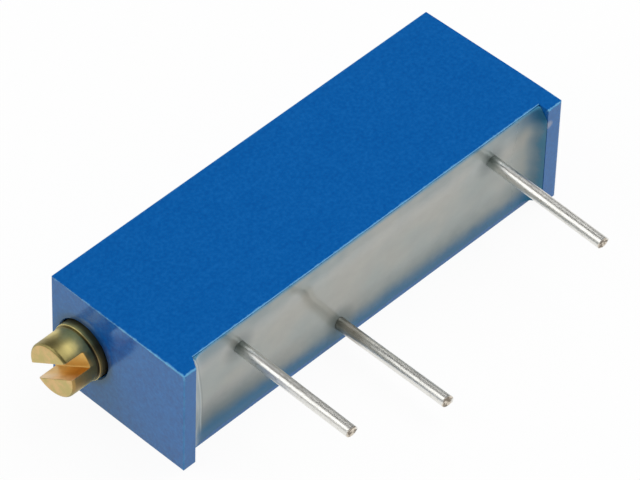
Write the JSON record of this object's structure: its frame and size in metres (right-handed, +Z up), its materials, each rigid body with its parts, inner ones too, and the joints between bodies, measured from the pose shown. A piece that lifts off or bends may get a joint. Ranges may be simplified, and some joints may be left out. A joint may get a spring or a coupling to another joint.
{
  "type": "trimmer potentiometer",
  "caption": "Rectangular multiturn trimmer potentiometer: a brass screw at one end drives a wiper carriage along a sealed cermet element with wire pins.",
  "frame": {"origin": "middle of the wide side that the housing lies on, midway along its length and depth", "axes": "+X along the housing away from the adjustment screw, -Y the way the pins point, +Z up through the width"},
  "size_m": [0.0205, 0.0116, 0.0048],
  "materials": {
    "housing_plastic": "deep blue moulded thermoset, slightly glossy, with a very fine grain",
    "potting_epoxy": "warm grey cast epoxy, satin, with a soft meniscus",
    "alumina": "matt white alumina",
    "cermet_ink": "fired black resistive film, matt",
    "conductor_ink": "fired silver-palladium film, satin",
    "tinned_copper": "hot-tinned copper wire, bright, with fine drawing lines and a coppery cut end",
    "solder": "bright solder",
    "spring_steel": "blanked spring steel",
    "screw_brass": "turned brass, slightly dulled, with fine turning marks",
    "seal_rubber": "black rubber",
    "carriage_nylon": "natural nylon",
    "contact_alloy": "precious metal spring alloy"
  },
  "bodies": {
    "case": {"housing": "housing_plastic", "potting": "potting_epoxy", "element_substrate": "alumina", "resistive_track": "cermet_ink", "collector_track": "conductor_ink", "near_pad": "conductor_ink", "far_pad": "conductor_ink", "near_pin": "tinned_copper", "wiper_pin": "tinned_copper", "far_pin": "tinned_copper", "near_solder": "solder", "wiper_solder": "solder", "far_solder": "solder", "retaining_clip": "spring_steel"},
    "screw": {"lead_screw": "screw_brass", "sealing_ring": "seal_rubber"},
    "slider": {"carriage": "carriage_nylon", "wiper_contact": "contact_alloy"}
  },
  "joints": [
    {"name": "screw_turn", "type": "hinge", "parent": "case", "child": "screw", "pos_m": [-0.00953, 0.00172, 0.00233], "axis": [1, 0, 0], "range_deg": [-2700, 2700]},
    {"name": "carriage_slide", "type": "slide", "parent": "case", "child": "slider", "axis": [1, 0, 0], "range_m": [-0.00596, 0.00596]}
  ],
  "couplings": [
    {"joint": "carriage_slide", "follows": "screw_turn", "m_per_rad": -0.00012637}
  ]
}
